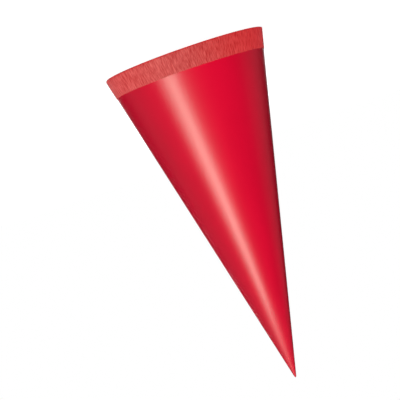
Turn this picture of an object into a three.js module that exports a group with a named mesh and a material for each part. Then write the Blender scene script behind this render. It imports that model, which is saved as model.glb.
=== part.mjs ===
// A small paper school cone, empty, standing on its mouth with the tip up.
// A quarter circle of glossy card is rolled into a cone and glued along a lap. A sleeve of crepe paper
// closes the mouth: its first stretch is glued round the outside as a band, then it turns over the rim
// and the rest lies tucked inside, where the slack of the narrowing cone goes into flutes.
// Millimetres, +Z up. The origin is the centre of the mouth, on the surface that the rim stands on.
import * as THREE from "three";

// The sheet of card
const SHEET_RADIUS = 350; // the quarter circle's radius, from the tip to the rim along the slant
const SHEET_ANGLE = 90; // degrees of the flat sheet
const LAP_ANGLE = 6.3; // degrees of the flat sheet that lie glued under its other edge
const CARD_THICKNESS = 0.6;
const TIP_RADIUS = 1; // rolled card can't close to a point
const CAVITY_END_RADIUS = 1.5; // the plies are pinched together beyond this inner radius
const LAP_RISE = 9; // degrees round the cone over which the upper ply climbs on to the lower one
const LAP_PRESSED = 60; // towards the tip the lap is pressed flat over this length
const CUT_EDGE = 0.4; // degrees round the cone that a cut edge of the card takes
const SEAM_AZIMUTH = 118; // of the lower ply's edge: the lap is on the back, clear of the X and Y axes

// The sleeve of crepe paper
const BAND_WIDTH = 19.5; // glued to the outside, from the card's edge
const TUCK_DEPTH = 110; // tucked inside, along the wall
const CREPE_THICKNESS = 0.3;
const GLUE_GAP = 0.1; // between the band and the card
const EDGE_GAP = 0.3; // between the card's edge and the start of the fold's bend
const WALL_GAP = 2; // between the tucked crepe and the inside of the card
const FOLD_RADIUS = 0.9; // of the sleeve's middle line, where it turns over the rim
const FLUTES = 30;
const FLUTE_SHARE = 0.6; // of the slack, the rest being taken by the crepe itself
const RIDGE_DEPTH = 0.12; // of the crepe's own fine ridges, each side of the middle

// How finely the round shapes are divided
const CARD_SEGMENTS = 120;
const SLEEVE_SEGMENTS = 240; // even, so that the ridges meet all round
const FOLD_STEPS = 2; // of each of the fold's two bends
const TUCK_STEPS = 4;

const degrees = THREE.MathUtils.degToRad;
const clamp = THREE.MathUtils.clamp;

// The slope of the wall: the sheet's angle without the lap makes one whole turn.
const slopeSine = (SHEET_ANGLE - LAP_ANGLE) / 360;
const slopeCosine = Math.sqrt(1 - slopeSine ** 2);
const lapAzimuth = LAP_ANGLE / slopeSine;

// The card ends above the fold's outer bend, which turns from the wall on to the floor.
const outerBendReach = FOLD_RADIUS * Math.sqrt((1 + slopeSine) / (1 - slopeSine));
const cardEdgeHeight =
  CREPE_THICKNESS / 2 + outerBendReach * slopeCosine + EDGE_GAP + CARD_THICKNESS * slopeSine;

// A point of the section, in the plane of the radius (x) and the height (y): along is the distance
// from the card's edge up the slant, and out the distance from the card's outer face.
function wallPoint(along, out) {
  return new THREE.Vector2(
    (SHEET_RADIUS - along) * slopeSine + out * slopeCosine,
    cardEdgeHeight + along * slopeCosine + out * slopeSine,
  );
}

function turned(point, azimuth) {
  const angle = degrees(azimuth);
  return new THREE.Vector3(
    point.x * Math.cos(angle),
    point.x * Math.sin(angle),
    point.y,
  );
}

// A closed solid from rings of points about the axis, each ring counter-clockwise seen from above.
// The rings follow the section's outline clockwise in the plane of the radius and the height.
// A ring of one point is a pole on the axis, and without poles the last ring joins the first.
function skin(rings) {
  const points = rings.flat();
  const starts = rings.map((ring, i) =>
    rings.slice(0, i).reduce((sum, earlier) => sum + earlier.length, 0),
  );
  const faces = [];
  const joins = rings[0].length > 1 ? rings.length : rings.length - 1;
  for (let i = 0; i < joins; i++) {
    const next = (i + 1) % rings.length;
    const count = Math.max(rings[i].length, rings[next].length);
    const at = (ring, j) => starts[ring] + (j % rings[ring].length);
    for (let j = 0; j < count; j++) {
      if (rings[i].length > 1) faces.push(at(i, j), at(next, j), at(i, j + 1));
      if (rings[next].length > 1)
        faces.push(at(i, j + 1), at(next, j), at(next, j + 1));
    }
  }
  return new THREE.BufferGeometry().setFromPoints(points).setIndex(faces);
}

// How far the upper ply has climbed, from 0 to 1, at an azimuth from the lower ply's edge.
function rise(fromEdge) {
  return THREE.MathUtils.smoothstep(fromEdge, -LAP_RISE, 0);
}

// An azimuth measured from the seam, between the start of the rise and the end of the turn.
function fromSeam(azimuth) {
  const turn = (((azimuth - SEAM_AZIMUTH) % 360) + 360) % 360;
  return turn > 360 - 2 * LAP_RISE ? turn - 360 : turn;
}

function cardAzimuths() {
  const edges = [0, lapAzimuth].flatMap((edge) => [
    edge - CUT_EDGE / 2,
    edge + CUT_EDGE / 2,
  ]);
  const step = 360 / CARD_SEGMENTS;
  const even = Array.from(
    { length: CARD_SEGMENTS },
    (_, i) => -2 * LAP_RISE + (i + 0.5) * step,
  ).filter((a) => edges.every((edge) => Math.abs(a - edge) > CUT_EDGE));
  return [...even, ...edges].sort((a, b) => a - b);
}

function makeCone() {
  const azimuths = cardAzimuths();
  // The lap is pressed flat towards the tip, where all the plies are pinched together.
  const pressed = (along) => clamp((SHEET_RADIUS - along) / LAP_PRESSED, 0, 1);
  const outerLift = (a) =>
    a < 0 ? rise(a) : a <= lapAzimuth - CUT_EDGE / 2 ? 1 : 0;
  const innerLift = (a) => (a < 0 ? rise(a) : 0);
  const ring = (along, out, lift) =>
    azimuths.map((a) =>
      turned(
        wallPoint(along, out + CARD_THICKNESS * lift(a) * pressed(along)),
        SEAM_AZIMUTH + a,
      ),
    );
  const pole = (height) => [new THREE.Vector3(0, 0, height)];

  const outerEnd = SHEET_RADIUS - TIP_RADIUS / slopeSine;
  const innerEnd =
    SHEET_RADIUS -
    (CARD_THICKNESS * slopeCosine + CAVITY_END_RADIUS) / slopeSine;
  const pressedFrom = SHEET_RADIUS - LAP_PRESSED;
  const outer = [outerEnd, pressedFrom, 0].map((along) =>
    ring(along, 0, outerLift),
  );
  const inner = [0, pressedFrom, innerEnd].map((along) =>
    ring(along, -CARD_THICKNESS, innerLift),
  );
  const tipHeight = wallPoint(outerEnd, 0).y + TIP_RADIUS / 2;
  const cavityHeight =
    wallPoint(innerEnd, -CARD_THICKNESS).y + CAVITY_END_RADIUS / 2;
  return skin([pole(tipHeight), ...outer, ...inner, pole(cavityHeight)]);
}

// The corner between two straight runs, rounded: places on an arc that touches both, each with its
// point and the direction that faces away from the arc's centre.
function roundedCorner(before, corner, after, radius, steps) {
  const back = before.clone().sub(corner).normalize();
  const ahead = after.clone().sub(corner).normalize();
  const half = Math.acos(back.dot(ahead)) / 2;
  const middle = back.clone().add(ahead).normalize();
  const centre = corner.clone().addScaledVector(middle, radius / Math.sin(half));
  const reach = radius / Math.tan(half);
  const from = corner.clone().addScaledVector(back, reach).sub(centre).normalize();
  const turn = Math.sign(back.cross(ahead)) * (Math.PI - 2 * half);
  return Array.from({ length: steps + 1 }, (_, i) => {
    const normal = from.clone().rotateAround(new THREE.Vector2(), -turn * (i / steps));
    return { point: centre.clone().addScaledVector(normal, radius), normal };
  });
}

// Where a straight run down the wall, at a distance out from the card, reaches a height.
function wallAtHeight(out, height) {
  const start = wallPoint(0, out);
  return wallPoint((height - start.y) / slopeCosine, out);
}

// The depth of the flutes at a place inside: the sleeve keeps its full girth while the cone narrows,
// so the paper's length round each flute is that of a wave about the shorter circle.
function fluteDepth(radius, fullRadius) {
  const stretch = 1 + FLUTE_SHARE * (fullRadius / radius - 1);
  const steepness = Math.sqrt((2 * stretch - 1) ** 2 - 1);
  return (steepness * radius) / FLUTES;
}

// The sleeve's middle line from the band's free edge, over the rim and down to its free end inside.
// Each place has its point, the direction that its shown side faces, how far it follows the lap
// (0 to 1) and the depth of its flutes.
function sleeveLine() {
  const outside = GLUE_GAP + RIDGE_DEPTH + CREPE_THICKNESS / 2;
  const inside = -(CARD_THICKNESS + WALL_GAP + CREPE_THICKNESS / 2);
  const floor = CREPE_THICKNESS / 2;
  const outward = new THREE.Vector2(slopeCosine, slopeSine);
  const inward = outward.clone().negate();
  const bandEdge = wallPoint(BAND_WIDTH, outside);
  const outerCorner = wallAtHeight(outside, floor);
  const innerCorner = wallAtHeight(inside, floor);
  const sleeveEnd = wallPoint(TUCK_DEPTH, inside);
  const outerBend = roundedCorner(bandEdge, outerCorner, innerCorner, FOLD_RADIUS, FOLD_STEPS);
  const innerBend = roundedCorner(outerCorner, innerCorner, sleeveEnd, FOLD_RADIUS, FOLD_STEPS);
  const foldEnd = innerBend[FOLD_STEPS].point;
  const tuck = Array.from({ length: TUCK_STEPS }, (_, i) => {
    const point = foldEnd.clone().lerp(sleeveEnd, (i + 1) / TUCK_STEPS);
    const flute = fluteDepth(point.x, foldEnd.x);
    point.x -= flute;
    return { point, normal: inward, flute };
  });
  return [
    { point: bandEdge, normal: outward, lap: 1 },
    ...outerBend.map((place) => ({ ...place, lap: 1 })),
    ...innerBend,
    ...tuck,
  ];
}

function makeSleeve() {
  const places = sleeveLine();
  const azimuths = Array.from(
    { length: SLEEVE_SEGMENTS },
    (_, i) => (i * 360) / SLEEVE_SEGMENTS,
  );
  // The band climbs before the card's rise and comes down after the upper ply's cut edge.
  const early = 360 / SLEEVE_SEGMENTS;
  const bandLift = (azimuth) => {
    const a = fromSeam(azimuth);
    return a < 0
      ? rise(a + early)
      : 1 - clamp((a - lapAzimuth - early) / (2 * early), 0, 1);
  };
  // side is +1 on the face that shows, from outside round the fold into the mouth, and -1 on the other.
  const ring = ({ point, normal, lap = 0, flute = 0 }, side) =>
    azimuths.map((azimuth, j) => {
      const wave = flute * Math.cos(degrees(azimuth * FLUTES));
      const ridge = RIDGE_DEPTH * Math.abs(normal.x) * (j % 2 ? 1 : -1);
      const moved = point
        .clone()
        .addScaledVector(normal, (side * CREPE_THICKNESS) / 2 + ridge + wave);
      moved.x += (CARD_THICKNESS / slopeCosine) * lap * bandLift(azimuth);
      return turned(moved, azimuth);
    });
  const shown = places.map((place) => ring(place, 1));
  const hidden = places.map((place) => ring(place, -1)).reverse();
  return skin([...shown, ...hidden]);
}

const glossyCard = new THREE.MeshStandardMaterial({
  color: 0xcf0f30,
  roughness: 0.3,
  metalness: 0,
});
const crepePaper = new THREE.MeshStandardMaterial({
  color: 0xd8413f,
  roughness: 0.95,
  metalness: 0,
});

function piece(name, geometry, material) {
  const mesh = new THREE.Mesh(geometry, material);
  mesh.name = name;
  return mesh;
}

const schoolCone = new THREE.Group();
schoolCone.add(
  piece("card_cone", makeCone(), glossyCard),
  piece("crepe_sleeve", makeSleeve(), crepePaper),
);

export default schoolCone;
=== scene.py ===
"""A small school cone of glossy red card, with a sleeve of crepe paper glued round its mouth and tucked in.

It stands on its mouth. Metres, +Z up, the origin at the centre of the mouth on the floor, as in the
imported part. Azimuths are in degrees and go from +X towards +Y.
"""
import math

import bpy
import numpy as np
from mathutils import Matrix, Quaternion, Vector


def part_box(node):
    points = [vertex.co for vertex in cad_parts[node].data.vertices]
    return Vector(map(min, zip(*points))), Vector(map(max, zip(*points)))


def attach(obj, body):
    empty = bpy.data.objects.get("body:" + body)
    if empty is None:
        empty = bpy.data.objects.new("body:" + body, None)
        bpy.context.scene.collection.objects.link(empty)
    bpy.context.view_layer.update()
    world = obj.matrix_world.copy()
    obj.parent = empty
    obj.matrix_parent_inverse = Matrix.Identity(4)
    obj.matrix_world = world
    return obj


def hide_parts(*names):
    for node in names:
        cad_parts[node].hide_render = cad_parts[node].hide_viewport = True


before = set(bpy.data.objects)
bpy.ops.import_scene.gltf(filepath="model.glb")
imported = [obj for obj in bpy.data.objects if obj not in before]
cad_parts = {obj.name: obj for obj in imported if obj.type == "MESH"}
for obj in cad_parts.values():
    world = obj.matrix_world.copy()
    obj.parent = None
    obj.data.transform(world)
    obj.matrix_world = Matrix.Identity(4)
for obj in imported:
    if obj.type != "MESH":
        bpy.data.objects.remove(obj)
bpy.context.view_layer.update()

# The sheet of card
SHEET_RADIUS = 0.350
SHEET_ANGLE = 90  # degrees of the flat sheet
LAP_ANGLE = 6.3  # degrees of the flat sheet, glued under its other edge
CARD_THICKNESS = 0.0006
TIP_RADIUS = 0.001
TIP_RINGS = ((0.8, 0.35), (0.45, 0.62))  # the tip's rounding: share of the radius, rise in tip radii
TIP_END_RISE = 0.1  # in tip radii, above the last of those rings
CAVITY_END_RADIUS = 0.0015
LAP_RISE = 9  # degrees round the cone over which the upper ply climbs
LAP_PRESSED = 0.060  # the lap is pressed flat towards the tip over this length
CUT_EDGE = 0.15  # degrees round the cone that a cut edge takes
SEAM_AZIMUTH = 118
CARD_WAVE = 0.00012  # how far the rolled sheet is out of round
CARD_WAVES = ((0.5, 2, 0.6), (0.3, 5, 2.0), (0.2, 9, -1.0))  # share, waves in a turn, phase

# The sleeve of crepe paper
BAND_WIDTH = 0.0195
TUCK_DEPTH = 0.110
CREPE_THICKNESS = 0.00032
BAND_OUT = 0.00045  # from the card's face to the mean of the band's
BULGE_EARLY = 1.5  # degrees by which the crepe's rise over the lap leads the card's
BULGE_FALL = (0.3, 2.6)  # degrees past the lap's cut edge, where the crepe comes down again
STRIP_SEAM_AZIMUTH = 132  # where the crepe's own ends meet
FOLD_RADIUS_TIGHT = 0.0008
FOLD_RADIUS_LOOSE = 0.0017
FOLD_LOOSE_AZIMUTH = -8
FOLD_FLAT = 0.0003
FLUTES = 30
FLUTE_SHARE = 0.6  # of the slack, the rest being taken by the crepe itself
GATHERS = ((0.45, 4, 40), (0.35, 9, 0))  # how flutes drift: radians, waves in a turn, phase in degrees
RAGGED = 0.00035  # how far the band's cut edge wanders
RAGGED_LAYERS = ((1, 260, 11), (0.6, 70, 12))  # share, cells of noise in a turn, seed
HEM_WANDER = 0.0015
HEM_LAYERS = ((1, 36, 13),)

# The crepe's ridges, in layers of noise: cells in a turn, their length along the strip, seed
CRINKLE = 0.00014  # height of the ridges, each side of the mean
SWAY_LAYERS = ((0.9, 60, 0.016, 3), (0.35, 150, 0.006, 4))  # each with its share first
WIDE_RIDGES = (300, 0.011, 5)
NARROW_RIDGES = (520, 0.007, 6)
CREASES = (230, 0.014, 7)
PATCHES = (24, 0.020, 8)
NOISE_ROWS = 512

# How finely the shapes are divided
CARD_SAMPLES = 480
CREPE_SAMPLES = 1320
BAND_RINGS = 17
FOLD_RINGS = 6  # in each of its two bends
TUCK_RINGS = 25
HIDDEN_TUCK = (0.08, 0.2, 0.36, 0.56, 0.78, 1)  # shares of the tuck, on the side that faces the card
CARD_SHARP_ANGLE = 40
CREPE_SHARP_ANGLE = 65

SLOPE_SINE = (SHEET_ANGLE - LAP_ANGLE) / 360
SLOPE_COSINE = math.sqrt(1 - SLOPE_SINE**2)
SLOPE = math.asin(SLOPE_SINE)
LAP_AZIMUTH = LAP_ANGLE / SLOPE_SINE

# The card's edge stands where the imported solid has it.
card_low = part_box("card_cone")[0]
CARD_EDGE_HEIGHT = card_low.z + CARD_THICKNESS * SLOPE_SINE
HEIGHT = CARD_EDGE_HEIGHT + SHEET_RADIUS * SLOPE_COSINE  # of the point where the slopes would meet
RIM_RADIUS = HEIGHT * SLOPE_SINE / SLOPE_COSINE


def smoothstep(x, low, high):
    t = np.clip((x - low) / (high - low), 0, 1)
    return t * t * (3 - 2 * t)


def noise(u, v, cells, seed):
    """Smooth noise between about -0.7 and 0.7, which repeats after that many cells of u."""
    angles = np.random.default_rng(seed).uniform(0, 2 * np.pi, (cells, NOISE_ROWS))
    cell_u, cell_v = np.floor(u).astype(int), np.floor(v).astype(int)
    in_u, in_v = u - cell_u, v - cell_v

    def corner(a, b):
        angle = angles[(cell_u + a) % cells, (cell_v + b) % NOISE_ROWS]
        return np.cos(angle) * (in_u - a) + np.sin(angle) * (in_v - b)

    def fade(t):
        return t**3 * (t * (t * 6 - 15) + 10)

    near = corner(0, 0) * (1 - fade(in_u)) + corner(1, 0) * fade(in_u)
    far = corner(0, 1) * (1 - fade(in_u)) + corner(1, 1) * fade(in_u)
    return near * (1 - fade(in_v)) + far * fade(in_v)


def from_seam(azimuth):
    """Degrees from the seam, between the start of the lap's rise and the end of the turn."""
    turn = (azimuth - SEAM_AZIMUTH) % 360
    return np.where(turn > 360 - 2 * LAP_RISE, turn - 360, turn)


def wall_point(along, out):
    """Radius and height of a point that far up the slant and out from the card's outer face."""
    radius = (SHEET_RADIUS - along) * SLOPE_SINE + out * SLOPE_COSINE
    height = CARD_EDGE_HEIGHT + along * SLOPE_COSINE + out * SLOPE_SINE
    return radius, height


def card_wave(azimuth):
    """How far the card is out of round, as a share of its greatest."""
    a = np.radians(azimuth)
    return sum(share * np.sin(waves * a + phase) for share, waves, phase in CARD_WAVES)


def turned(radius, height, azimuth):
    a = np.radians(azimuth)
    return np.stack([radius * np.cos(a), radius * np.sin(a), np.broadcast_to(height, a.shape)], 1)


def shell(name, rings, poles=None):
    """A closed mesh from rings of points about the axis, with the number of each face's ring.

    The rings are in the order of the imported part's. Without poles the last one joins the first.
    """
    count = len(rings[0])
    points = np.concatenate(rings)
    starts = np.arange(len(rings)) * count
    this = np.arange(count)
    following = (this + 1) % count
    faces, rows = [], []
    for i in range(len(rings) if poles is None else len(rings) - 1):
        near, far = starts[i], starts[(i + 1) % len(rings)]
        faces += np.stack([near + this, far + this, far + following, near + following], 1).tolist()
        rows += [i] * count
    if poles is not None:
        first, last = len(points), len(points) + 1
        points = np.concatenate([points, poles])
        pairs = list(zip(this.tolist(), following.tolist()))
        faces += [[first, a, b] for a, b in pairs]
        faces += [[last, starts[-1] + b, starts[-1] + a] for a, b in pairs]
        rows += [-1] * count + [len(rings)] * count
    mesh = bpy.data.meshes.new(name)
    mesh.from_pydata(points.tolist(), [], faces)
    mesh.shade_smooth()
    mesh.update()
    piece = bpy.data.objects.new(name, mesh)
    bpy.context.collection.objects.link(piece)
    return piece, np.array(rows)


def sheet_map(piece, rings):
    """A UV map in metres of the flat sheet: round the cone and along it, torn at the seam."""
    mesh = piece.data
    layer = mesh.uv_layers.new(name="sheet")
    vertices = np.zeros(len(mesh.loops), int)
    mesh.loops.foreach_get("vertex_index", vertices)
    places = np.concatenate(rings)
    uv = places[vertices]
    width = np.ptp(places[:, 0])
    starts = np.zeros(len(mesh.polygons), int)
    totals = np.zeros(len(mesh.polygons), int)
    mesh.polygons.foreach_get("loop_start", starts)
    mesh.polygons.foreach_get("loop_total", totals)
    for start, total in zip(starts, totals):
        u = uv[start : start + total, 0]
        if np.ptp(u) > width / 2:
            u[u < width / 2] += width
    layer.data.foreach_set("uv", uv.astype(np.float32).ravel())


# Materials. Grains are in metres across and along the sheet, and bumps are a strength and a height.

CARD_RED = (0.72, 0.0012, 0.029, 1)
CARD_RED_DEEP = (0.69, 0.0010, 0.027, 1)
CARD_CLOUD = (0.05, 0.09)
CARD_PEEL = (0.0012, 0.0012)
CARD_PEEL_BUMP = (0.05, 0.00002)
CARD_IOR = 1.5
# By share of the slant: the gloss dulls towards the tip, where the sheet is rolled tightest.
CARD_ROUGHNESS = ((0, 0.285), (0.45, 0.29), (0.7, 0.33), (0.82, 0.43), (1, 0.75))

BOARD_LIGHT = (0.80, 0.78, 0.73, 1)
BOARD_DARK = (0.70, 0.68, 0.63, 1)
BOARD_FIBRES = (0.0008, 0.004)
BOARD_BUMP = (0.3, 0.00005)
BOARD_ROUGHNESS = 0.9

# Painted shade and sheen: the crepe's colour at the bottom of a valley is darkened as painted shade, and on
# a ridge's top it is paled as a painted sheen.
CREPE_VALLEY_PAINTED_SHADE = (0.48, 0.001, 0.007, 1)
CREPE_PEAK_PAINTED_SHEEN = (0.72, 0.010, 0.018, 1)
CREPE_VALLEY_SHINE = 0.35
CREPE_PEAK_SHINE = 1.25
CREPE_HEIGHTS = (0.55, 1.45)  # of the valleys and the peaks, as the sum of ridge and crinkle
CREPE_CRINKLE = (0.0009, 0.006)
CREPE_CRINKLE_BUMP = (0.6, 0.00012)
CREPE_FIBRES = (0.0003, 0.0012)
CREPE_FIBRES_BUMP = (0.5, 0.00004)
CREPE_LOOK = {
    "Roughness": 0.85,
    "Diffuse Roughness": 1.0,
    "IOR": 1.8,
    "Sheen Weight": 0.03,
    "Sheen Roughness": 0.5,
    "Sheen Tint": (1, 1, 1, 1),
}

NOISE_MIDDLE = (0.3, 0.7)  # the span that most of a noise texture's values fill


def empty_material(name):
    material = bpy.data.materials.new(name)
    material.use_nodes = True
    tree = material.node_tree
    tree.nodes.clear()
    return material, tree, tree.nodes.new("ShaderNodeOutputMaterial")


def new_material(name):
    material, tree, output = empty_material(name)
    shader = tree.nodes.new("ShaderNodeBsdfPrincipled")
    tree.links.new(shader.outputs[0], output.inputs["Surface"])
    return material, tree, shader


def add(tree, kind, links=(), **values):
    """A node, with its inputs set from values or linked: links are pairs of an input and an output."""
    node = tree.nodes.new(kind)
    for key, value in values.items():
        if hasattr(node, key):
            setattr(node, key, value)
        else:
            node.inputs[key].default_value = value
    for socket, source in links:
        tree.links.new(source, node.inputs[socket])
    return node


def calculate(tree, operation, first, second):
    """The result of a sum on an output and either another output or a number."""
    node = add(tree, "ShaderNodeMath", [(0, first)], operation=operation)
    if isinstance(second, bpy.types.NodeSocket):
        tree.links.new(second, node.inputs[1])
    else:
        node.inputs[1].default_value = second
    return node.outputs[0]


def ramp(tree, source, low, high, to_low=0.0, to_high=1.0):
    node = add(tree, "ShaderNodeMapRange", [("Value", source)], interpolation_type="SMOOTHSTEP")
    for key, value in (("From Min", low), ("From Max", high), ("To Min", to_low), ("To Max", to_high)):
        node.inputs[key].default_value = value
    return node.outputs["Result"]


def mix_colour(tree, factor, first, second):
    node = tree.nodes.new("ShaderNodeMix")
    node.data_type = "RGBA"
    colours = {"A_Color": first, "B_Color": second}
    for socket in node.inputs:
        if socket.identifier == "Factor_Float":
            tree.links.new(factor, socket)
        elif socket.identifier in colours:
            socket.default_value = colours[socket.identifier]
    return next(s for s in node.outputs if s.identifier == "Result_Color")


def sheet_noise(tree, grain, **values):
    """Noise on the flat sheet, with grains of that size across and along it."""
    across, along = grain
    sheet = add(tree, "ShaderNodeUVMap", uv_map="sheet")
    scaled = add(tree, "ShaderNodeMapping", [("Vector", sheet.outputs[0])], vector_type="POINT")
    scaled.inputs["Scale"].default_value = (1 / across, 1 / along, 1)
    texture = add(
        tree,
        "ShaderNodeTexNoise",
        [("Vector", scaled.outputs[0])],
        noise_dimensions="2D",
        Scale=1.0,
        **values,
    )
    return texture.outputs[0]


def bump(tree, height, strength, distance, under=None):
    links = [("Height", height)] if under is None else [("Height", height), ("Normal", under)]
    return add(tree, "ShaderNodeBump", links, Strength=strength, Distance=distance).outputs[0]


def glossy_card():
    """Red laminated card: an even, saturated colour, a soft gloss and the faintest orange peel."""
    material, tree, shader = new_material("glossy_card")
    cloud = ramp(tree, sheet_noise(tree, CARD_CLOUD), *NOISE_MIDDLE)
    tree.links.new(mix_colour(tree, cloud, CARD_RED, CARD_RED_DEEP), shader.inputs["Base Color"])
    sheet = add(tree, "ShaderNodeUVMap", uv_map="sheet")
    place = add(tree, "ShaderNodeSeparateXYZ", [("Vector", sheet.outputs[0])])
    share = calculate(tree, "DIVIDE", place.outputs["Y"], SHEET_RADIUS)
    dull = add(tree, "ShaderNodeValToRGB", [("Fac", share)])
    stops = dull.color_ramp
    stops.interpolation = "B_SPLINE"
    for i, (position, roughness) in enumerate(CARD_ROUGHNESS):
        # A new ramp already has two stops.
        stop = stops.elements[i] if i < 2 else stops.elements.new(position)
        stop.position = position
        stop.color = (roughness, roughness, roughness, 1)
    tree.links.new(dull.outputs[0], shader.inputs["Roughness"])
    peel = bump(tree, sheet_noise(tree, CARD_PEEL), *CARD_PEEL_BUMP)
    tree.links.new(peel, shader.inputs["Normal"])
    shader.inputs["IOR"].default_value = CARD_IOR
    return material


def bare_board():
    """The card's cut edges and its uncoated back."""
    material, tree, shader = new_material("bare_board")
    fibres = sheet_noise(tree, BOARD_FIBRES, Detail=4.0)
    colour = mix_colour(tree, ramp(tree, fibres, *NOISE_MIDDLE), BOARD_LIGHT, BOARD_DARK)
    tree.links.new(colour, shader.inputs["Base Color"])
    shader.inputs["Roughness"].default_value = BOARD_ROUGHNESS
    tree.links.new(bump(tree, fibres, *BOARD_BUMP), shader.inputs["Normal"])
    return material


def crepe_paper():
    """Crepe paper with painted shade and sheen: its colour is darker in the valleys as painted shade and
    paler on the ridges' tops as a painted sheen, and the tops also shine more.
    """
    material, tree, shader = new_material("crepe_paper")
    ridge = add(tree, "ShaderNodeAttribute", attribute_name="ridge", attribute_type="GEOMETRY")
    fine = sheet_noise(tree, CREPE_CRINKLE, Detail=3.0)
    fibres = sheet_noise(tree, CREPE_FIBRES, Detail=2.0)
    height = calculate(tree, "ADD", ridge.outputs["Fac"], fine)
    # Painted shade in the valleys and a painted sheen on the peaks, by the height of the ridges.
    colour = mix_colour(tree, ramp(tree, height, *CREPE_HEIGHTS), CREPE_VALLEY_PAINTED_SHADE, CREPE_PEAK_PAINTED_SHEEN)
    tree.links.new(colour, shader.inputs["Base Color"])
    shine = ramp(tree, height, *CREPE_HEIGHTS, CREPE_VALLEY_SHINE, CREPE_PEAK_SHINE)
    tree.links.new(shine, shader.inputs["Specular IOR Level"])
    for name, value in CREPE_LOOK.items():
        shader.inputs[name].default_value = value
    coarse = bump(tree, fine, *CREPE_CRINKLE_BUMP)
    tree.links.new(bump(tree, fibres, *CREPE_FIBRES_BUMP, coarse), shader.inputs["Normal"])
    return material


# Pieces

def card_azimuths():
    """Degrees past the seam, from before the lap's rise: even, apart from the two cut edges."""
    edges = np.array([edge + side * CUT_EDGE / 2 for edge in (0, LAP_AZIMUTH) for side in (-1, 1)])
    even = -2 * LAP_RISE + (np.arange(CARD_SAMPLES) + 0.5) * 360 / CARD_SAMPLES
    clear = np.abs(even[:, None] - edges[None, :]).min(1) > CUT_EDGE
    return np.sort(np.concatenate([even[clear], edges]))


def make_card_cone():
    azimuths = card_azimuths()
    sheet = (azimuths + 2 * LAP_RISE) / 360 * 2 * math.pi * RIM_RADIUS
    climb = smoothstep(azimuths, -LAP_RISE, 0)
    inner_lift = np.where(azimuths < 0, climb, 0)
    outer_lift = np.where(azimuths < 0, climb, np.where(azimuths < LAP_AZIMUTH, 1, 0))
    rings, maps = [], []

    def ring(along, out, lift):
        pressed = np.clip((SHEET_RADIUS - along) / LAP_PRESSED, 0, 1)
        wave = CARD_WAVE * pressed * card_wave(azimuths + SEAM_AZIMUTH)
        radius, height = wall_point(along, out + CARD_THICKNESS * pressed * lift + wave)
        rings.append(turned(radius, height, azimuths + SEAM_AZIMUTH))
        maps.append(np.stack([sheet, np.full(len(sheet), along)], 1))

    # The rings stand closer together towards the tip.
    steps = np.concatenate([np.linspace(0, 0.9, 30), np.linspace(0.92, 1, 12)])
    outer_end = SHEET_RADIUS - TIP_RADIUS / SLOPE_SINE
    inner_end = SHEET_RADIUS - (CARD_THICKNESS * SLOPE_COSINE + CAVITY_END_RADIUS) / SLOPE_SINE
    for along in outer_end * steps[::-1]:
        ring(along, 0, outer_lift)
    outer_rings = len(rings)
    for along in inner_end * steps:
        ring(along, -CARD_THICKNESS, inner_lift)

    # The tip is rounded over its last millimetre.
    for share, rise in TIP_RINGS:
        top = rings[0].copy()
        top[:, :2] *= share
        top[:, 2] += TIP_RADIUS * rise
        rings.insert(0, top)
        maps.insert(0, maps[0].copy())
        outer_rings += 1
    tip_height = rings[0][:, 2].mean() + TIP_RADIUS * TIP_END_RISE
    cavity_height = rings[-1][:, 2].mean() + CAVITY_END_RADIUS / 2
    poles = np.array([[0, 0, tip_height], [0, 0, cavity_height]])
    piece, rows = shell("rolled_card_cone", rings, poles)
    sheet_map(piece, maps + [np.array([[0, SHEET_RADIUS]] * 2)])

    # Uncoated board shows on the inside, on the rim's edge and on the lap's cut edge.
    piece.data.materials.append(glossy_card())
    piece.data.materials.append(bare_board())
    column = np.arange(len(rows)) % len(azimuths)
    edge_column = np.argmin(np.abs(azimuths - (LAP_AZIMUTH - CUT_EDGE / 2)))
    bare = (rows >= outer_rings - 1) | ((rows >= 0) & (column == edge_column))
    piece.data.polygons.foreach_set("material_index", bare.astype(np.int32))
    piece.data.set_sharp_from_angle(angle=math.radians(CARD_SHARP_ANGLE))
    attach(piece, "root")
    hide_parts("card_cone")


def layer(azimuths, s, cells, length, seed, sway=0):
    """Noise on the sleeve, in cells round it and of that length along the strip."""
    return noise((azimuths / 360 * cells + sway) % cells, s / length, cells, seed)


def wandering(azimuths, layers):
    """Noise round the sleeve, for the line of an edge."""
    middle = np.full(len(azimuths), 0.5)
    return sum(share * noise(azimuths / 360 * cells, middle, cells, seed) for share, cells, seed in layers)


def crinkle(azimuths, s):
    """The crepe's ridges, from -1 to 1: they run along the sheet, wander, branch and end."""
    sway = sum(share * layer(azimuths, s, *cells) for share, *cells in SWAY_LAYERS)
    wide = layer(azimuths, s, *WIDE_RIDGES, sway)
    narrow = layer(azimuths, s, *NARROW_RIDGES, 1.5 * sway)
    creased = 0.45 - 1.9 * np.abs(layer(azimuths, s, *CREASES, sway))
    patch = 0.75 + 0.5 * layer(azimuths, s, *PATCHES)
    return np.clip((0.7 * wide + 0.95 * narrow + 0.4 * creased) * patch, -1, 1)


def flute_depth(radius, full_radius):
    """Depth of the flutes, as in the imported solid: the slack of the narrowing cone goes into them."""
    stretch = 1 + FLUTE_SHARE * np.maximum(full_radius / radius - 1, 0)
    return np.sqrt((2 * stretch - 1) ** 2 - 1) * radius / FLUTES


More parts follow.
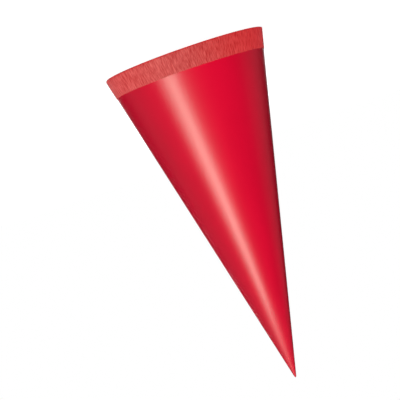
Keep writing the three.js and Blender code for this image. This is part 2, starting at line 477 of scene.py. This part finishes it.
def make_crepe_sleeve():
    azimuths = np.arange(CREPE_SAMPLES) * 360 / CREPE_SAMPLES

    # The card under the crepe: the lap and the sheet's own wave lift it.
    past_seam = from_seam(azimuths)
    lap = np.where(
        past_seam < 0,
        smoothstep(past_seam + BULGE_EARLY, -LAP_RISE, 0),
        1 - smoothstep(past_seam - LAP_AZIMUTH, *BULGE_FALL),
    )
    bulge = CARD_THICKNESS * lap + CARD_WAVE * card_wave(azimuths)

    # The fold: two bends with a flat between them, on the floor.
    loose = 0.5 + 0.5 * np.cos(np.radians(azimuths - FOLD_LOOSE_AZIMUTH))
    bend = FOLD_RADIUS_TIGHT + (FOLD_RADIUS_LOOSE - FOLD_RADIUS_TIGHT) * loose
    outer_reach = bend / math.tan((math.pi / 2 - SLOPE) / 2)
    inner_reach = bend / math.tan((math.pi / 2 + SLOPE) / 2)
    outer_corner = RIM_RADIUS + (BAND_OUT + bulge) / SLOPE_COSINE
    outer_centre = outer_corner - outer_reach
    inner_centre = outer_centre - FOLD_FLAT - 0.5 * bulge
    inner_corner = inner_centre - inner_reach

    edge = BAND_WIDTH + RAGGED * wandering(azimuths, RAGGED_LAYERS)
    band_radius, band_height = wall_point(edge, BAND_OUT + bulge)
    fold_top = (outer_corner - SLOPE_SINE * outer_reach, SLOPE_COSINE * outer_reach)
    band_length = (band_height - fold_top[1]) / SLOPE_COSINE

    # Each place is a radius, a height, the direction that it faces, its distance along the strip and
    # how far it stands back for the flutes.
    def band(t):
        radius = band_radius + (fold_top[0] - band_radius) * t
        height = band_height + (fold_top[1] - band_height) * t
        return radius, height, (SLOPE_COSINE, SLOPE_SINE), band_length * t, 0.0

    def arc(centre, start, end, base):
        def place(t):
            angle = start + (end - start) * t
            facing = (math.cos(angle), math.sin(angle))
            radius = centre + bend * facing[0]
            height = bend * (1 + facing[1])
            return radius, height, facing, base + bend * abs(end - start) * t, 0.0

        return place

    outer_turn = math.pi / 2 + SLOPE
    inner_turn = math.pi / 2 - SLOPE
    down = -math.pi / 2
    outer_bend = arc(outer_centre, SLOPE, down, band_length)
    flat_end = band_length + bend * outer_turn + FOLD_FLAT
    inner_bend = arc(inner_centre, down, down - inner_turn, flat_end)
    tuck_start = flat_end + bend * inner_turn
    tuck_top = (inner_corner - SLOPE_SINE * inner_reach, SLOPE_COSINE * inner_reach)
    hem = TUCK_DEPTH + HEM_WANDER * wandering(azimuths, HEM_LAYERS)
    gather = sum(size * np.sin(np.radians(waves * azimuths + phase)) for size, waves, phase in GATHERS)

    def tuck(t):
        run = (hem - inner_reach) * t
        radius = tuck_top[0] - SLOPE_SINE * run
        height = tuck_top[1] + SLOPE_COSINE * run
        depth = flute_depth(radius, tuck_top[0])
        flute = depth * (np.cos(np.radians(FLUTES * azimuths) + gather * t) - 1)
        return radius, height, (-SLOPE_COSINE, -SLOPE_SINE), tuck_start + run, flute

    shown_places = (
        [band(t) for t in np.linspace(0, 1, BAND_RINGS)]
        + [outer_bend(t) for t in np.linspace(0, 1, FOLD_RINGS + 1)[1:]]
        + [inner_bend(t) for t in np.linspace(0, 1, FOLD_RINGS)]
        + [tuck(t) for t in np.linspace(0, 1, TUCK_RINGS + 1)[1:]]
    )
    hidden_places = (
        [band(t) for t in (0, 0.5, 1)]
        + [outer_bend(t) for t in (0.33, 0.67, 1)]
        + [inner_bend(t) for t in (0, 0.5, 1)]
        + [tuck(t) for t in HIDDEN_TUCK]
    )

    rings, maps, ridges = [], [], []
    strip = (azimuths - STRIP_SEAM_AZIMUTH) % 360 / 360 * 2 * math.pi * RIM_RADIUS

    def ring(place, out, ridged):
        radius, height, facing, s, flute = place
        ridge = crinkle(azimuths, np.broadcast_to(s, azimuths.shape)) * ridged
        # On the floor the ridges' tops touch it.
        floor = np.clip(-facing[1], 0, 1)
        push = out + CRINKLE * (ridge - floor * ridged) - flute
        rings.append(turned(radius + facing[0] * push, height + facing[1] * push, azimuths))
        maps.append(np.stack([strip, np.broadcast_to(s, strip.shape)], 1))
        ridges.append(0.5 + 0.5 * ridge)

    for place in shown_places:
        ring(place, 0.0, 1.0)
    for place in hidden_places[::-1]:
        ring(place, -CREPE_THICKNESS, 0.0)
    piece, _ = shell("crepe_paper_sleeve", rings)
    sheet_map(piece, maps)
    attribute = piece.data.attributes.new("ridge", "FLOAT", "POINT")
    attribute.data.foreach_set("value", np.concatenate(ridges).astype(np.float32))
    piece.data.materials.append(crepe_paper())
    piece.data.set_sharp_from_angle(angle=math.radians(CREPE_SHARP_ANGLE))
    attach(piece, "root")
    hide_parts("crepe_sleeve")


# The photographer's corner

EYE_DISTANCE = 2.0
EYE_ELEVATION = -0.527  # degrees, seen from the middle of the cone's height
AIM_YAW = 0.920
AIM_PITCH = -0.836
ROLL = 160.889
FOCAL = 5.0395  # in widths of the picture
SENSOR = 36  # millimetres
CLIP_END = 50

# A tall leaning strip, brightest to the right of its middle, as slices: azimuth and power.
# It is a little green, so that its highlight on the red card is pale and not pink.
STRIP_SLICES = ((-52, 1.3), (-60, 4.2), (-68, 7.0), (-76, 0.6))
STRIP_COLOUR = (0.6, 1, 0.82)
STRIP_LEAN = 35
TOP_COLOUR = (1, 1, 0.85)

ROOM_LIGHT = 0.07
ROOM_SHINE = 0.01
ROOM_WHITE_FROM = 0.95  # the cosine from the middle of the white backdrop, as glossy things see it
ROOM_WHITE_FULL = 0.995
FLOOR_REACH = 4
FLOOR_WHITE_FROM = 0.5  # metres behind the cone
FLOOR_WHITE_FULL = 1.5
FLOOR_GREY = 0.4
FLOOR_GLOW_NEAR = 0.9  # beside the cone, where its shadow shows
FLOOR_SHADOW_REACH = 0.45
WHITE = (1, 1, 1, 1)


def camera_axes():
    """The camera's place, then its right, up and forward directions.

    It stands in front of the cone, rolled until the cone hangs tip down and leans.
    """
    e, yaw, pitch, roll = (math.radians(d) for d in (EYE_ELEVATION, AIM_YAW, AIM_PITCH, ROLL))
    back = Vector((0, -math.cos(e), math.sin(e)))
    ahead = -back
    side = Vector((1, 0, 0))
    up = side.cross(ahead)
    aim = (ahead * math.cos(yaw) + side * math.sin(yaw)) * math.cos(pitch) + up * math.sin(pitch)
    aim.normalize()
    level = aim.cross(up).normalized()
    upright = level.cross(aim)
    right = level * math.cos(roll) + upright * math.sin(roll)
    above = upright * math.cos(roll) - level * math.sin(roll)
    return Vector((0, 0, HEIGHT / 2)) + back * EYE_DISTANCE, right, above, aim


def make_camera():
    eye, right, above, aim = camera_axes()
    camera = bpy.data.objects.new("camera", bpy.data.cameras.new("camera"))
    bpy.context.collection.objects.link(camera)
    turn = Matrix((right, above, -aim)).transposed()
    camera.matrix_world = Matrix.Translation(eye) @ turn.to_4x4()
    camera.data.sensor_width = SENSOR
    camera.data.lens = FOCAL * SENSOR
    camera.data.clip_end = CLIP_END
    bpy.context.scene.camera = camera


def panel(
    name, azimuth, elevation, distance, width, height, power, colour=(1, 1, 1), roll=0, gloss=True, matt=True
):
    """A soft light in a direction from the cone's middle, facing it."""
    light = bpy.data.lights.new(name, "AREA")
    light.shape = "RECTANGLE"
    light.size = width
    light.size_y = height
    light.energy = power
    light.color = colour
    lamp = bpy.data.objects.new(name, light)
    bpy.context.collection.objects.link(lamp)
    a, e = math.radians(azimuth), math.radians(elevation)
    towards = Vector((math.cos(a) * math.cos(e), math.sin(a) * math.cos(e), math.sin(e)))
    lamp.rotation_mode = "QUATERNION"
    lamp.location = Vector((0, 0, HEIGHT / 2)) + towards * distance
    lean = Quaternion((0, 0, 1), math.radians(roll))
    lamp.rotation_quaternion = towards.to_track_quat("Z", "Y") @ lean
    lamp.visible_camera = False
    lamp.visible_glossy = gloss
    lamp.visible_diffuse = matt


def make_lights():
    # What the gloss shows: the strip, a panel above it and a faint wall on each side
    near = {"distance": 1.2, "matt": False}
    strip = {"width": 0.14, "height": 1.0, "colour": STRIP_COLOUR, "roll": STRIP_LEAN}
    for azimuth, power in STRIP_SLICES:
        panel("strip", azimuth, 25, power=power, **strip, **near)
    panel("strip_top", -50, 66, width=0.9, height=0.3, power=11, colour=TOP_COLOUR, **near)
    wall ={"distance": 2.0, "width": 1.6, "height": 1.6, "matt": False}
    panel("left_wall", 5, 10, power=1.6, **wall)
    panel("right_wall", 162, 10, power=1.3, **wall)

    # What lights the colours
    lamp = {"distance": 2.0, "gloss": False}
    panel("key", -90, 2, width=0.4, height=0.25, power=37.5, **lamp)
    panel("behind", 52, 20, width=0.8, height=0.8, power=30, **lamp)
    panel("back", 112, 25, width=0.8, height=0.8, power=9, **lamp)


def make_floor():
    mesh = bpy.data.meshes.new("floor")
    signs = ((-1, -1), (1, -1), (1, 1), (-1, 1))
    mesh.from_pydata([(x * FLOOR_REACH, y * FLOOR_REACH, 0) for x, y in signs], [], [(0, 1, 2, 3)])
    floor = bpy.data.objects.new("floor", mesh)
    bpy.context.collection.objects.link(floor)
    floor.data.materials.append(white_ground())


def ray_kinds(tree):
    """Two outputs: 1 for rays that look straight at the backdrop, and 1 for those from a gloss."""
    path = tree.nodes.new("ShaderNodeLightPath")
    straight = calculate(
        tree, "MAXIMUM", path.outputs["Is Camera Ray"], path.outputs["Is Transmission Ray"]
    )
    return straight, path.outputs["Is Glossy Ray"]


def white_ground():
    """A floor that is white to look at and keeps a trace of the shadow."""
    material, tree, output = empty_material("white_ground")
    ground = add(tree, "ShaderNodeBsdfDiffuse", Color=(FLOOR_GREY, FLOOR_GREY, FLOOR_GREY, 1))
    place = tree.nodes.new("ShaderNodeNewGeometry")
    away = add(tree, "ShaderNodeVectorMath", [(0, place.outputs["Position"])], operation="LENGTH")
    strength = ramp(tree, away.outputs["Value"], RIM_RADIUS, FLOOR_SHADOW_REACH, FLOOR_GLOW_NEAR, 1.0)
    glow = add(tree, "ShaderNodeEmission", [("Strength", strength)], Color=WHITE)
    # The gloss sees the white floor only where it lies behind the object.
    straight, glossy = ray_kinds(tree)
    towards = add(tree, "ShaderNodeSeparateXYZ", [("Vector", place.outputs["Position"])])
    behind = ramp(tree, towards.outputs["Y"], FLOOR_WHITE_FROM, FLOOR_WHITE_FULL)
    white = calculate(tree, "MAXIMUM", straight, calculate(tree, "MULTIPLY", glossy, behind))
    lit = add(tree, "ShaderNodeAddShader", [(0, ground.outputs[0]), (1, glow.outputs[0])])
    links = [(0, white), (1, ground.outputs[0]), (2, lit.outputs[0])]
    either = add(tree, "ShaderNodeMixShader", links)
    tree.links.new(either.outputs[0], output.inputs["Surface"])
    return material


def make_world():
    """A dim room with a white backdrop behind the object.

    Looked at straight, the room is white all round. A gloss sees white only at the backdrop.
    """
    world = bpy.data.worlds.new("studio")
    bpy.context.scene.world = world
    world.use_nodes = True
    tree = world.node_tree
    tree.nodes.clear()
    output = tree.nodes.new("ShaderNodeOutputWorld")
    straight, glossy = ray_kinds(tree)
    place = tree.nodes.new("ShaderNodeTexCoord")
    towards = add(tree, "ShaderNodeSeparateXYZ", [("Vector", place.outputs["Generated"])])
    backdrop = ramp(tree, towards.outputs["Y"], ROOM_WHITE_FROM, ROOM_WHITE_FULL, ROOM_SHINE, 1.0)
    light = add(tree, "ShaderNodeMix", [("Factor", glossy), ("B", backdrop)], A=ROOM_LIGHT)
    strength = calculate(tree, "MAXIMUM", straight, light.outputs["Result"])
    room = add(tree, "ShaderNodeBackground", [("Strength", strength)], Color=WHITE)
    tree.links.new(room.outputs[0], output.inputs["Surface"])


make_camera()
make_card_cone()
make_crepe_sleeve()
make_floor()
make_world()
make_lights()
bpy.context.scene.view_settings.view_transform = "Standard"
